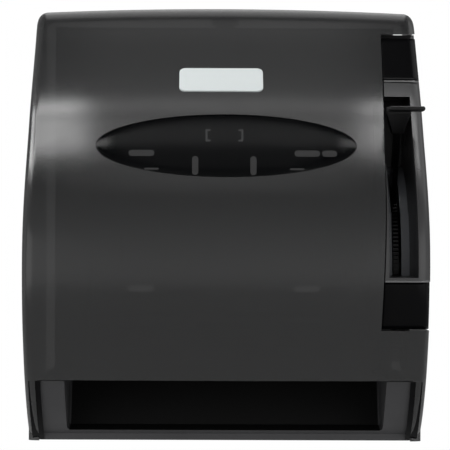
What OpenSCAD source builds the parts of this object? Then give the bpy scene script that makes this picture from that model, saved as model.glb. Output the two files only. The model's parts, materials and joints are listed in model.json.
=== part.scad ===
// Wall-mounted roll towel dispenser with a thumb lever on its right side.
// Origin: bottom centre of the back, on the wall plane. Front is -Y, up is +Z, millimetres.

/* [Cover] */
// Overall width of the cover
cover_w = 322; // [310:1:340]
// Overall height of the cover
cover_h = 363; // [356:1:368]
// Depth of the cover at its fullest point
cover_d = 247.5; // [240:0.5:256]
// Wall of the moulded cover
cover_wall = 2.6; // [2:0.1:3.2]
// How far the surface falls away from the middle to the sides
cover_crown = 4; // [2:0.5:6]
// Radius along the side edges of the cover
edge_r = 9; // [6:0.5:11]
// Height of the cover's front lip
lip_z = 53; // [50:1:56]
// Width of a side leg seen from the front
leg_w = 9; // [8.5:0.5:10]

/* [Window] */
// Half width of the oval window
window_a = 105; // [90:1:110]
// Half height of the oval window, seen from the front
window_b = 26; // [20:1:28]
// Height of the window's centre
window_z = 241; // [236:1:244]
// Rise of the lens at its middle
lens_rise = 2.5; // [1:0.5:4]

/* [Badge place] */
// Width of the blank plate
badge_w = 69; // [60:1:72]
// Height of the blank plate along the slope
badge_h = 28; // [24:1:30]
// Height of the plate's centre
badge_z = 296.5; // [294:0.5:300]
// Distance of the plate's centre to the left of the middle
badge_left = 4; // [0:1:8]

/* [Notch] */
// Width of the notch for the lever housing at its top, from the cover's side
notch_w = 30; // [29.5:0.1:31]
// How much wider the notch is at its bottom
notch_lean = 8.7; // [6:0.1:9]
// Bottom of the notch
notch_z0 = 94; // [90:1:98]
// Top of the notch
notch_z1 = 338; // [336:1:340]

/* [Chute] */
// Width of a post beside the towel opening, with the cover's leg
post_w = 32; // [29:1:35]
// Bottom of the towel opening
opening_z0 = 9; // [8:1:12]
// Wall of the chute
chute_wall = 3; // [2.5:0.1:4]

/* [Lever] */
// Depth of the lever's pivot from the wall
lever_d = 75; // [74:0.5:76]
// Height of the lever's pivot
lever_z = 140; // [139:0.5:141]
// Depth of the thumb tab's front edge
tab_d = 205; // [202:1:208]
// Height of the thumb tab's top face
tab_z = 273; // [271:1:274]
// Thickness of the thumb tab
tab_t = 4; // [3:0.5:5]
// Angle of the lever's arm above level at rest
lever_rest = 52; // [51:0.5:53]
// Thickness of the lever's plate
lever_t = 4.5; // [4:0.1:5]
// Diameter of the pivot pin
pivot_pin_dia = 8; // [7:0.5:9]

/* [Gears] */
// Size of the teeth
gear_module = 1.1; // [1.09:0.01:1.11]
// Teeth that the sector would have as a whole wheel
sector_teeth = 154; // [152:2:156]
// Teeth of the pinion
pinion_teeth = 22; // [20:2:24]
// Width of the pinion
pinion_w = 7; // [6:0.5:8]

/* [Rollers] */
// Diameter of the rubber sleeves on the feed roller
feed_dia = 38; // [34:1:40]
// Diameter of the pressure roller
press_dia = 20; // [18:1:22]
// Diameter of the feed roller's shaft
shaft_dia = 8; // [7:0.5:9]
// Width of the towel that the rollers take
towel_w = 206; // [202:1:208]

/* [Roll holders] */
// Height of the roll's axis
hub_z = 158; // [155:1:162]
// Depth of the roll's axis from the wall
hub_d = 125; // [122:1:128]
// Diameter of the core plug
hub_dia = 36; // [32:0.5:37]
// Length of the core plug
hub_len = 16; // [12:1:18]

/* [Back panel] */
// Gap between the back panel's edge and the outside of the cover
panel_edge = 11; // [10:1:13]
// Thickness of the back panel
panel_t = 3; // [2.5:0.1:4]
// Width of a mounting slot
slot_w = 5.6; // [4.5:0.1:6]
// Length of a mounting slot
slot_l = 23; // [20:1:25]
// Distance between the left and right mounting slots
slot_span = 148; // [140:2:160]
// Height of the upper mounting slots
slot_z1 = 241; // [236:1:244]
// Height of the lower mounting slots
slot_z0 = 120; // [110:1:130]

/* [Clearances] */
// Gap between the cover and what sits in its cut-outs
cover_gap = 1; // [0.6:0.1:1.4]
// Radial running clearance of pins and shafts
run_fit = 0.08; // [0.05:0.01:0.1]
// Gap between moving faces
side_gap = 0.4; // [0.3:0.05:0.6]
// Gap between pieces of one body that are seated on each other
seat_gap = 0.2; // [0.1:0.05:0.3]

/* [Hidden] */
$fn = 48;
eps = 0.01;
half_w = cover_w / 2;
inner_w = half_w - cover_wall;
notch_x = half_w - notch_w;
notch_foot_x = notch_x - notch_lean;
opening_x = half_w - post_w;
panel_x = half_w - panel_edge;

// ---- Side profile of the cover, as [depth, height] points ----
shoulder_d = 66;
slope_top = [112, cover_h - 27];
slope_end = [180, 264];
belly = [cover_d, 145];
lip = [219, lip_z];
foot = [166, 0];

// Points of a cubic curve from a to d, without its last point
function curve(a, b, c, d, n) =
    [for (i = [0:n - 1]) let (t = i / n, u = 1 - t)
        a * u ^ 3 + 3 * b * u ^ 2 * t + 3 * c * u * t ^ 2 + d * t ^ 3];

front_line = concat(
    curve([shoulder_d, cover_h], [93, cover_h], [98, cover_h - 12], slope_top, 6),
    curve(slope_top, slope_top + [34, -35], [162, 288], slope_end, 4),
    curve(slope_end, [208, 229], [cover_d, 195], belly, 8),
    curve(belly, [cover_d, 105], [236, 82], lip, 6),
    curve(lip, [206, 34], [188, 14], foot, 4),
    [foot]
);

// The profile's line moved inwards by a distance, square to itself
function moved_line(by) =
    [for (i = [0:len(front_line) - 1])
        let (before = i == 0 ? [0, cover_h] : front_line[i - 1],
             after = i == len(front_line) - 1 ? front_line[i] : front_line[i + 1],
             run = after - before)
        front_line[i] + by * [run.y, -run.x] / norm(run)];

// Closed side outline: the moved line joined to the back and the bottom
function side_outline(by, back, bottom) =
    let (line = moved_line(by), end = line[len(line) - 1])
    concat([[back, bottom], [back, cover_h - by]], line, [[end.x, bottom]]);

// How far the surface lies inwards at a distance from the middle
function crown_at(x) = cover_crown * (x / half_w) ^ 2;

// Stations across the width, as [x, inset], with rounded side edges
function stations(by) =
    let (r = max(edge_r - by, 1), flat = half_w - by - r, steps = 5, spans = 6)
    concat(
        [for (k = [0:steps - 1]) let (a = 90 - 90 * k / steps)
            [-flat - r * sin(a), by + crown_at(flat) + r * (1 - cos(a))]],
        [for (k = [0:spans]) let (x = flat * (2 * k / spans - 1)) [x, by + crown_at(x)]],
        [for (k = [1:steps]) let (a = 90 * k / steps)
            [flat + r * sin(a), by + crown_at(flat) + r * (1 - cos(a))]]
    );

// Solid bounded by the cover's surface moved inwards by a distance
module cover_form(by, back = 0, bottom = 0) {
    rows = stations(by);
    rings = [for (s = rows) side_outline(s[1], back, bottom)];
    m = len(rings[0]);
    n = len(rows);
    points = [for (k = [0:n - 1], p = rings[k]) [rows[k][0], -p.x, p.y]];
    near_cap = [[for (j = [0:m - 1]) j]];
    far_cap = [[for (j = [0:m - 1]) (n - 1) * m + (m - j) % m]];
    skin = [for (k = [0:n - 2], j = [0:m - 1])
        let (a = k * m + j, b = k * m + (j + 1) % m)
        each [[a, a + m, b], [b, a + m, b + m]]];
    polyhedron(points, concat(near_cap, far_cap, skin));
}

// ---- Places worked out from the sizes above ----
hinge_d = 60;
hinge_z = 15;
hinge_pin_dia = 8;
leg_x = half_w - leg_w;
chute_x = leg_x - cover_gap;

// Gears
sector_r = gear_module * sector_teeth / 2;
pinion_r = gear_module * pinion_teeth / 2;
gear_gap = 0.12;
mesh_a = -40;
feed_d = lever_d + (sector_r + pinion_r + gear_gap) * cos(mesh_a);
feed_z = lever_z + (sector_r + pinion_r + gear_gap) * sin(mesh_a);
plate_x = notch_x + 7;
pinion_x = plate_x + lever_t / 2 - pinion_w / 2;

// Side frames
frame_t = 3;
frame_x = towel_w / 2 + 12;
press_a = -20;
press_d = feed_d + (feed_dia / 2 + press_dia / 2 + 0.3) * cos(press_a);
press_z = feed_z + (feed_dia / 2 + press_dia / 2 + 0.3) * sin(press_a);
bush_dia = shaft_dia + 6;

// Roll holders
arm_d = 28;
arm_z = hub_z - 8;
arm_t = 4;
arm_x = frame_x - frame_t - 1.5 - arm_t;
hub_face_x = towel_w / 2 - 1.5;

// Lever housing
housing_x = notch_x - 6;
channel_z0 = 136;
channel_z1 = 283;
recess = 7;
housing_wall = 3;
channel_x1 = half_w - recess - housing_wall;
fascia_x = notch_foot_x - 2;
recess_z0 = 133;
recess_z1 = 297;
guard_r = sector_r + 4.5;
guard_t = 3;

// ---- Shared shapes ----
// Depth of the cover's front at a height
function front_depth(z) = lookup(z, [for (p = front_line) [p.y, p.x]]);

// A bar along X from x0 to x1, at a depth and a height
module bar_x(x0, x1, d, z, r) {
    translate([x0, -d, z]) rotate([0, 90, 0]) cylinder(r = r, h = x1 - x0);
}

// A side outline given as [depth, height], as thick as from x0 to x1
module side_plate(x0, x1) {
    translate([x0, 0, 0]) rotate([90, 0, 90]) linear_extrude(x1 - x0) mirror([1, 0]) children();
}

// Rounded rectangle, centred
module round_rect(w, h, r) {
    hull() for (x = [-1, 1], y = [-1, 1]) translate([x * (w / 2 - r), y * (h / 2 - r)]) circle(r, $fn = 24);
}

// Box by its least and greatest corners, with depths counted forwards
module block(x0, x1, d0, d1, z0, z1) {
    translate([x0, -d1, z0]) cube([x1 - x0, d1 - d0, z1 - z0]);
}

// Strip of a circle's rim between two angles, as [depth, height] about the origin
module arc_strip(r0, r1, a0, a1, n = 16) {
    step = (a1 - a0) / n;
    polygon(concat(
        [for (k = [0:n]) r1 * [cos(a0 + k * step), sin(a0 + k * step)]],
        [for (k = [n:-1:0]) r0 * [cos(a0 + k * step), sin(a0 + k * step)]]
    ));
}

// ---- Cover ----
// The notch seen from the front, with its left edge moved in and its right edge at x1
module notch_prism(by, x1) {
    translate([0, 10, 0]) rotate([90, 0, 0]) linear_extrude(310) polygon([
        [notch_foot_x + by, notch_z0 + by], [x1, notch_z0 + by],
        [x1, cover_h], [notch_x + by, cover_h], [notch_x + by, notch_z1]
    ]);
}
// Radius about the hinge of the notch's top edge
notch_r = norm([front_depth(notch_z1) - hinge_d, notch_z1 - hinge_z]);

module window_outline(less) {
    n = 48;
    polygon([for (k = [0:n - 1])
        [(window_a - less) * cos(360 * k / n), window_z + (window_b - less) * sin(360 * k / n)]]);
}

// Carries its children onto the slope where the badge place is
slope_run = [front_depth(badge_z - 6) - front_depth(badge_z + 6), 12];
slope_a = atan2(slope_run.y, slope_run.x);
module on_slope() {
    translate([-badge_left, -front_depth(badge_z), badge_z]) rotate([slope_a, 0, 0]) children();
}

module badge_shape(grow) {
    round_rect(badge_w + 2 * grow, badge_h + 2 * grow, 5 + grow);
}

// Everything outside a circle about the hinge, in one quarter behind it
module behind_hinge(r, up, x0, x1) {
    difference() {
        block(x0, x1, -20, hinge_d, up ? hinge_z : -40, up ? notch_z0 + eps : hinge_z);
        bar_x(x0 - 1, x1 + 1, hinge_d, hinge_z, r);
    }
}

module lock_place(grow, depth) {
    translate([0, -lock_d, cover_h - depth]) cylinder(r = lock_dia / 2 + grow, h = depth + 5);
}
lock_d = 30;
lock_dia = 16;
cam_reach = 22;
cam_hook = 4;

module front_cover() {
    boss_r = 9;
    boss_l = 4;
    color([0.25, 0.25, 0.26]) difference() {
        union() {
            difference() {
                cover_form(0);
                cover_form(cover_wall, -1, -1);
            }
            for (s = [-1, 1])
                bar_x(s > 0 ? inner_w - boss_l : -inner_w - 1, s > 0 ? inner_w + 1 : -inner_w + boss_l,
                    hinge_d, hinge_z, boss_r);
            translate([0, -lock_d, cover_h - 10]) cylinder(r = lock_dia / 2 + 4, h = 9);
        }
        block(-leg_x, leg_x, 100, 300, -10, lip_z);
        translate([0, 10, 0]) rotate([90, 0, 0]) linear_extrude(300) window_outline(0);
        on_slope() translate([0, 0, -0.8]) linear_extrude(10) badge_shape(seat_gap);
        intersection() {
            notch_prism(0, half_w + 10);
            bar_x(notch_foot_x, half_w + 10, hinge_d, hinge_z, notch_r);
        }
        behind_hinge(hinge_d - 3, false, -half_w - 1, half_w + 1);
        behind_hinge(notch_z0 - hinge_z - 1, true, notch_foot_x, half_w + 1);
        bar_x(-half_w - 1, half_w + 1, hinge_d, hinge_z, hinge_pin_dia / 2 + run_fit);
        lock_place(run_fit, 20);
    }
}

// Domed lens that follows the cover's surface, one ring of points after another
module window_lens() {
    n = 40;
    rings = 4;
    a = window_a - seat_gap;
    b = window_b - seat_gap;
    t = 3.2;
    function at(r, k, back) =
        let (x = a * r * cos(360 * k / n), z = window_z + b * r * sin(360 * k / n))
        [x, crown_at(x) - front_depth(z) - lens_rise * (1 - r ^ 2) + back, z];
    side = [for (r = [rings:-1:1], k = [0:n - 1]) [r, k]];
    points = concat(
        [for (p = side) at(p[0] / rings, p[1], 0)], [at(0, 0, 0)],
        [for (p = side) at(p[0] / rings, p[1], t)], [at(0, 0, t)]
    );
    half = rings * n + 1;
    mid = half - 1;
    function sheet(from, turn) = concat(
        [for (r = [0:rings - 2], k = [0:n - 1])
            let (p = from + r * n + k, q = from + r * n + (k + 1) % n)
            each (turn ? [[p, p + n, q], [q, p + n, q + n]] : [[p, q, p + n], [q, q + n, p + n]])],
        [for (k = [0:n - 1])
            let (p = from + (rings - 1) * n + k, q = from + (rings - 1) * n + (k + 1) % n)
            turn ? [p, from + mid, q] : [p, q, from + mid]]
    );
    edge = [for (k = [0:n - 1]) let (q = (k + 1) % n) each [[k, q + half, q], [k, k + half, q + half]]];
    color([0.2, 0.21, 0.23, 0.6]) polyhedron(points, concat(sheet(0, false), sheet(half, true), edge));
}

module badge_plate() {
    color([0.82, 0.84, 0.84]) on_slope() translate([0, 0, -0.8 + eps]) linear_extrude(1.8) badge_shape(0);
}

module lock_barrel() {
    color("silver") difference() {
        union() {
            translate([0, -lock_d, cover_h - 16]) cylinder(r = lock_dia / 2, h = 16.4);
            translate([0, -lock_d, cover_h]) cylinder(r = lock_dia / 2 + 1.5, h = 1);
        }
        translate([-0.8, -lock_d - 4, cover_h - 4]) cube([1.6, 8, 10]);
    }
}

// At rest the cam points sideways, clear of the keeper; a quarter turn locks the cover
module lock_cam() {
    z = cover_h - 16 - 3;
    color("silver") translate([0, -lock_d, z]) union() {
        cylinder(r = lock_dia / 2 - 1, h = 3 - seat_gap);
        translate([0, -5, 0]) cube([cam_reach, 10, 3 - seat_gap]);
        translate([cam_reach - cam_hook, -5, -4]) cube([cam_hook, 10, 5]);
    }
}

// ---- Back panel and frames ----
screw_r = 2;
foot_w = 14;
screw_places = [for (s = [-1, 1], z = [75, 215]) [s * (frame_x + foot_w / 2 + 1), z]];
housing_screws = [for (z = [120, 300]) [housing_x + 8, z]];

// A slot with round ends, cut through the panel
module panel_slot(x, z, w, h) {
    r = min(w, h) / 2;
    along = w > h ? [w / 2 - r, 0] : [0, h / 2 - r];
    translate([x, eps, z]) rotate([90, 0, 0]) linear_extrude(panel_t + 2 * eps) union() {
        square([w > h ? w - 2 * r : w, w > h ? h : h - 2 * r], center = true);
        for (s = [-1, 1]) translate(s * along) circle(r);
    }
}

module panel_cut(x, z, w, h) {
    translate([x - w / 2, -panel_t - 1, z - h / 2]) cube([w, panel_t + 2, h]);
}

module back_panel() {
    top = cover_h - 11;
    rim_h = 10;
    rim_t = 2.5;
    color([0.55, 0.56, 0.55]) difference() {
        union() {
            block(-panel_x, panel_x, 0, panel_t, 0, top);
            block(-panel_x, panel_x, 0, rim_h, top - rim_t, top);
            block(-panel_x, -panel_x + rim_t, 0, rim_h, 60, top);
            for (x = [-60, 60]) block(x - 1, x + 1, 0, rim_h - 2, 255, top);
        }
        for (s = [-1, 1], z = [slot_z0, slot_z1]) panel_slot(s * slot_span / 2, z, slot_l, slot_w);
        for (s = [-1, 1]) {
            panel_slot(s * 26, slot_z1 - 11, slot_w, 17);
            panel_slot(s * 65, slot_z1 - 14, 13, 1.8);
            panel_cut(s * 14.5 + s * 1.5, slot_z1 + 16, 1.8, 11);
            for (z = [-1, 1]) panel_cut(s * 14.5, slot_z1 + 16 + z * 4.6, 4.6, 1.8);
        }
        panel_slot(94, slot_z1, 13.5, slot_w);
        for (p = concat(screw_places, housing_screws))
            translate([p.x, 1, p.y]) rotate([90, 0, 0]) cylinder(r = screw_r + 0.1, h = panel_t + 2);
        block(-7, 7, -1, panel_t + 1, top - 12, top - 9);
    }
}

// Round-headed screws that hold the frames and the housing to the panel
module frame_screws() {
    module screw(x, z, d) {
        translate([x, 0, z]) rotate([90, 0, 0]) difference() {
            union() {
                cylinder(r = screw_r, h = d + 1);
                translate([0, 0, d + seat_gap]) cylinder(r = 4, h = 2.4);
            }
            translate([-2.5, -0.5, d + 1.4]) cube([5, 1, 3]);
        }
    }
    color("silver") {
        for (p = screw_places) screw(p.x, p.y, panel_t + seat_gap + frame_t);
        for (p = housing_screws) screw(p.x, p.y, panel_t + seat_gap + 4);
    }
}

// One side frame, drawn for the right side; side is -1 for the left one
module side_frame(side) {
    back = panel_t + seat_gap;
    flip = side < 0 ? [1, 0, 0] : [0, 0, 0];
    mirror(flip) difference() {
        union() {
            side_plate(frame_x - frame_t, frame_x) polygon([
                [back, 55], [150, 55], [170, 54], [204, 54], [204, 66],
                [190, 90], [165, 108], [130, 122], [60, 178], [40, 232], [back, 232]
            ]);
            block(frame_x - 1, frame_x + foot_w, back, back + frame_t, 62, 228);
            side_plate(frame_x - eps, frame_x + 4) polygon([
                [back, 229], [40, 229], [60, 176], [63, 178], [42, 232], [back, 232]
            ]);
            bar_x(frame_x - eps, frame_x + 3, feed_d, feed_z, bush_dia / 2 + 4);
            bar_x(frame_x - eps, frame_x + 3, arm_d, arm_z, 9);
            block(frame_x - frame_t - 6, frame_x - frame_t + eps, 66, 74, arm_z - 18, arm_z - 14.5);
        }
        bar_x(0, 200, feed_d, feed_z, bush_dia / 2);
        bar_x(0, 200, press_d, press_z, bush_dia / 2);
        bar_x(0, 200, arm_d, arm_z, arm_pin_r);
        side_plate(0, 200) polygon([[28, 75], [100, 75], [100, 105], [60, 128], [28, 128]]);
        side_plate(0, 200) polygon([[14, 172], [42, 172], [32, 215], [14, 215]]);
        for (z = [75, 215]) translate([frame_x + foot_w / 2 + 1, 0, z]) rotate([90, 0, 0])
            cylinder(r = screw_r + 0.1, h = 20);
    }
}
arm_pin_r = 4;

module left_side_frame() { color([0.5, 0.5, 0.5]) side_frame(-1); }

module right_side_frame() { color([0.5, 0.5, 0.5]) side_frame(1); }

// ---- Chute, tear bar, feed guide ----
chute_inset = 7.2;
chute_top = lip_z - 1;
cheek_d = 48;
ramp_d = 117;

module chute_outline(by) {
    intersection() {
        polygon(side_outline(chute_inset + by, cheek_d + by, 0.5));
        translate([0, 0.5]) square([300, chute_top - 0.5]);
    }
}

module lower_chute() {
    floor_z = 0.5 + chute_wall;
    color([0.27, 0.27, 0.28]) difference() {
        union() {
            side_plate(-chute_x, chute_x) chute_outline(0);
            block(-chute_x, chute_x, panel_t + seat_gap, cheek_d + 1, 0.5, floor_z);
        }
        intersection() {
            side_plate(-opening_x, opening_x) polygon([
                [ramp_d + chute_wall, chute_top + 1], [ramp_d + 22, floor_z + 8],
                [ramp_d + 45, opening_z0], [300, opening_z0 + 2], [300, chute_top + 1]
            ]);
            translate([0, 0, opening_z0 + 60]) rotate([90, 0, 0])
                linear_extrude(300) round_rect(2 * opening_x, 120, 3);
        }
        side_plate(-opening_x, opening_x) polygon([
            [cheek_d - 1, floor_z], [ramp_d + 14, floor_z], [ramp_d, chute_top + 1],
            [cheek_d - 1, chute_top + 1]
        ]);
        for (s = [-1, 1]) intersection() {
            side_plate(s * (opening_x + chute_x) / 2 - 8, s * (opening_x + chute_x) / 2 + 8)
                chute_outline(4);
            block(-200, 200, 0, 300, floor_z + 24, 300);
        }
        bar_x(-200, 200, hinge_d, hinge_z, hinge_pin_dia / 2);
    }
}

module hinge_pins() {
    color("silver") for (s = [-1, 1])
        bar_x(s > 0 ? opening_x + 4 : -half_w + 0.4, s > 0 ? half_w - 0.4 : -opening_x - 4,
            hinge_d, hinge_z, hinge_pin_dia / 2 - 0.02);
}

// Steel strip with a row of cutting teeth along its lower edge
module tear_bar() {
    half = frame_x - frame_t - seat_gap;
    pitch = 4;
    n = floor(2 * (half - 6) / pitch);
    start = -n * pitch / 2;
    color("silver") union() {
        translate([0, -196, 0]) rotate([90, 0, 0]) linear_extrude(1) polygon(concat(
            [[-half, 66], [-half, 58], [start, 58]],
            [for (k = [0:n - 1]) each [[start + (k + 0.5) * pitch, 55.5], [start + (k + 1) * pitch, 58]]],
            [[half, 58], [half, 66]]
        ));
        block(-half, half, 188, 197, 65, 66);
    }
}

// Curved hood above the feed roller
module feed_guide() {
    half = frame_x - frame_t - seat_gap;
    r = feed_dia / 2 + 6;
    color([0.6, 0.6, 0.58]) union() {
        translate([0, -feed_d, feed_z]) side_plate(-half, half) arc_strip(r, r + 2.5, 60, 185, 20);
        for (x = [-80:40:80]) translate([0, -feed_d, feed_z]) side_plate(x - 1, x + 1)
            arc_strip(r + 2, r + 6, 75, 180, 14);
    }
}

// ---- Lever housing and slot guard ----
web_x = notch_x + 16;
web_t = 3;
shaft_bush_r = bush_dia / 2;
pivot_boss_r = 8;

module web_outline() {
    polygon([
        [40, 96], [40, 175], [100, 205], [148, 168], [158, 120], [178, 96], [178, 70],
        [160, 58], [130, 58], [100, 70], [60, 96]
    ]);
}

// Room that the housing may fill: flush beside the cover's edge, set back under the cover and in the recesses
module housing_form(flush_less) {
    intersection() {
        cover_form(flush_less);
        notch_prism(cover_gap, half_w);
        block(0, half_w, 0, 300, recess_z0, recess_z1);
    }
    intersection() {
        translate([0, recess, 0]) cover_form(0);
        notch_prism(cover_gap, half_w);
        block(0, half_w, 0, 300, 0, cover_h);
    }
    intersection() {
        cover_form(recess);
        block(fascia_x, half_w, 0, 300, notch_z0 + cover_gap, cover_h);
    }
}

module lever_housing() {
    z0 = notch_z0 + cover_gap;
    z1 = notch_z1 - 2;
    d0 = panel_t + seat_gap;
    inner_x1 = inner_w - 1;
    color([0.22, 0.22, 0.23]) difference() {
        union() {
            intersection() {
                difference() {
                    housing_form(0);
                    intersection() {
                        union() {
                            cover_form(recess + housing_wall, -1, -1);
                            translate([0, recess, 0]) cover_form(housing_wall, -1, -1);
                        }
                        block(fascia_x + housing_wall, inner_x1, d0 + 4, 300, z0 + housing_wall, z1 - housing_wall);
                    }
                    block(0, housing_x, 0, 170, 0, cover_h);
                    block(0, frame_x + foot_w + 1, 0, 10, 0, cover_h);
                }
                block(0, half_w, d0, 300, z0, cover_h);
                bar_x(0, 200, hinge_d, hinge_z, notch_r - cover_gap);
            }
            intersection() {
                housing_form(1);
                union() {
                    block(channel_x1, channel_x1 + 2, 130, 300, recess_z0, recess_z1 - 10);
                    block(housing_x, channel_x1 + 1, lever_d + guard_r + guard_t + 0.6, 300, recess_z0, channel_z0);
                    block(housing_x, channel_x1 + 1, 100, 300, channel_z1, channel_z1 + housing_wall);
                    block(housing_x, housing_x + housing_wall, 100, 300, recess_z0, channel_z1 + housing_wall);
                }
            }
            side_plate(housing_x, housing_x + housing_wall) web_outline();
            side_plate(web_x, web_x + web_t) web_outline();
            block(housing_x, web_x + web_t, 40, 43, 100, 172);
        }
        intersection() {
            block(housing_x + housing_wall, channel_x1, 100, 300, channel_z0, channel_z1);
            difference() {
                block(0, 200, 0, 300, 0, 400);
                bar_x(0, 200, lever_d, lever_z, guard_r + guard_t + 1);
            }
        }
        bar_x(0, 200, lever_d, lever_z, pivot_pin_dia / 2 + 0.02);
        block(housing_x + housing_wall, web_x, 43, lever_d + guard_r + guard_t, z0 - 1, z0 + housing_wall + 1);
        bar_x(0, 200, feed_d, feed_z, shaft_bush_r);
        for (p = housing_screws) translate([p.x, 0, p.y]) rotate([90, 0, 0]) cylinder(r = screw_r + 0.1, h = 20);
    }
}

// Curved guard at the bottom of the lever's channel, slit for the lever's plate
module slot_guard() {
    x0 = housing_x + housing_wall + seat_gap;
    x1 = channel_x1 - seat_gap;
    slit_x0 = plate_x - 1.6;
    slit_x1 = plate_x + lever_t + 1.6;
    step_a = 31;
    color([0.33, 0.34, 0.35]) translate([0, -lever_d, lever_z]) difference() {
        union() {
            side_plate(x0, x1) arc_strip(guard_r, guard_r + guard_t, -8, step_a, 20);
            side_plate(x0, x1) arc_strip(guard_r - 3.4, guard_r - 0.4, step_a - 2, 78, 16);
            side_plate(x0, x1) arc_strip(guard_r - 3.4, guard_r + guard_t, step_a - 2, step_a, 2);
        }
        side_plate(slit_x0, slit_x1) arc_strip(guard_r - 9, guard_r + guard_t + 2, -3, 70, 30);
    }
}

module lever_pivot_pin() {
    color("silver") union() {
        bar_x(housing_x - 1.4, web_x + web_t + 0.3, lever_d, lever_z, pivot_pin_dia / 2);
        bar_x(housing_x - 3, housing_x - seat_gap, lever_d, lever_z, pivot_pin_dia / 2 + 2);
    }
}

// Flat spiral around the lever's bush
module return_spring() {
    turns = 3;
    steps = 20;
    strip = 0.8;
    r_in = bush_r + 1;
    r_out = 14;
    n = turns * steps;
    function turn_point(k, by) =
        let (a = 360 * k / steps, r = r_in + (r_out - r_in) * k / n + by) r * [cos(a), sin(a)];
    points = concat([for (k = [0:n]) turn_point(k, 0)], [for (k = [n:-1:0]) turn_point(k, strip)]);
    color("silver") translate([0, -lever_d, lever_z])
        side_plate(plate_x + lever_t + 1, web_x) polygon(points);
}

// ---- Gears ----
// Turn of an involute at a radius, from its base circle, in degrees
function involute(r, base) = r <= base ? 0 : let (a = acos(base / r)) tan(a) * 180 / PI - a;

// One tooth's points, with its middle at an angle, as [depth, height] about the wheel's axis
function tooth(mid, pitch_r, module_size) =
    let (base = pitch_r * cos(20), root = pitch_r - 1.25 * module_size, tip = pitch_r + 0.95 * module_size,
         half = (PI / 4 * module_size - 0.12) / pitch_r * 180 / PI + involute(pitch_r, base),
         low = max(root + 0.05, base), steps = 3,
         flank = [for (k = [0:steps]) let (r = low + (tip - low) * k / steps) [r, half - involute(r, base)]])
    concat(
        [root * [cos(mid - flank[0][1]), sin(mid - flank[0][1])]],
        [for (p = flank) p[0] * [cos(mid - p[1]), sin(mid - p[1])]],
        [for (k = [steps:-1:0]) let (p = flank[k]) p[0] * [cos(mid + p[1]), sin(mid + p[1])]],
        [root * [cos(mid + flank[0][1]), sin(mid + flank[0][1])]]
    );

sector_step = 360 / sector_teeth;
sector_low = floor((-45 - mesh_a) / sector_step);
sector_high = ceil((40 - mesh_a) / sector_step);
sector_hub_r = 13;

// Toothed rim of the lever's plate; a tooth lies on the line to the pinion
module sector_outline() {
    a0 = mesh_a + (sector_low - 0.5) * sector_step;
    a1 = mesh_a + (sector_high + 0.5) * sector_step;
    rim = sector_r - 2 * gear_module - 6;
    polygon(concat(
        [rim * [cos(a0), sin(a0)]],
        [for (k = [sector_low:sector_high]) each tooth(mesh_a + k * sector_step, sector_r, gear_module)],
        [for (k = [0:16]) let (a = a1 + (a0 - a1) * k / 16) rim * [cos(a), sin(a)]]
    ));
}

// Web from the hub to the rim or the tab, wider at one end
module spoke(a, r0, r1, w0, w1) {
    rotate(a) polygon([[r0, -w0 / 2], [r1, -w1 / 2], [r1, w1 / 2], [r0, w0 / 2]]);
}

tab_back = tab_d - 14;
arm_end = 152;

module lever_arm() {
    rim = sector_r - 2 * gear_module - 4;
    color([0.16, 0.16, 0.17]) translate([0, -lever_d, lever_z]) difference() {
        union() {
            side_plate(plate_x, plate_x + lever_t) union() {
                sector_outline();
                circle(sector_hub_r);
                for (a = [-38, -6, 26]) spoke(a, 5, rim, 16, 9);
                spoke(lever_rest, 5, arm_end, 22, 13);
                arc_strip(50, 56, -40, lever_rest, 20);
                arc_strip(rim - 4, rim, 36, lever_rest, 5);
            }
            bar_x(plate_x - 1.2, plate_x + lever_t + 0.8, 0, 0, sector_hub_r - 2);
        }
        bar_x(0, 200, 0, 0, bush_r);
    }
}
bush_r = pivot_pin_dia / 2 + 3;

module lever_bush() {
    color([0.85, 0.84, 0.8]) difference() {
        bar_x(housing_x + housing_wall + side_gap, web_x - side_gap, lever_d, lever_z, bush_r - 0.02);
        bar_x(0, 200, lever_d, lever_z, pivot_pin_dia / 2 + run_fit);
    }
}

// Thumb tab with the V-shaped web that carries it on the lever's plate
module lever_grip() {
    x0 = housing_x + housing_wall + 2.4;
    x1 = channel_x1 - 1.2;
    x2 = half_w - 1.2;
    mid = plate_x + lever_t / 2;
    top = tab_z - tab_t;
    arm = [lever_d + arm_end * cos(lever_rest), lever_z + arm_end * sin(lever_rest)];
    color([0.1, 0.1, 0.11]) difference() {
        union() {
            block(x0, x1, arm.x - 4, tab_back + 1, top, tab_z);
            hull() {
                for (x = [x0 + tab_t / 2, x2 - tab_t / 2]) {
                    translate([x, -tab_d + tab_t / 2, tab_z - tab_t / 2]) sphere(d = tab_t, $fn = 20);
                    translate([x, -tab_back, tab_z - tab_t / 2]) rotate([90, 0, 0])
                        cylinder(d = tab_t, h = 1, $fn = 20);
                }
            }
            hull() {
                block(x0, x1, arm.x - 2, tab_back - 4, top - 1, top + 1);
                block(mid - 4.4, mid + 4.4, arm.x - 6, arm.x + 8, top - 17, top - 16);
            }
        }
        translate([0, -lever_d, lever_z]) side_plate(plate_x - 0.02, plate_x + lever_t + 0.02)
            spoke(lever_rest, 100, arm_end + 0.2, 15.5, 13.2);
    }
}

// ---- Rollers ----
module drive_pinion() {
    phase = mesh_a + 180 + 180 / pinion_teeth;
    color([0.85, 0.84, 0.8]) translate([0, -feed_d, feed_z]) difference() {
        side_plate(pinion_x, pinion_x + pinion_w) polygon([for (k = [0:pinion_teeth - 1])
            each tooth(phase + 360 * k / pinion_teeth, pinion_r, gear_module)]);
        bar_x(0, 200, 0, 0, clutch_r + run_fit);
    }
}
clutch_r = 7;

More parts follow.
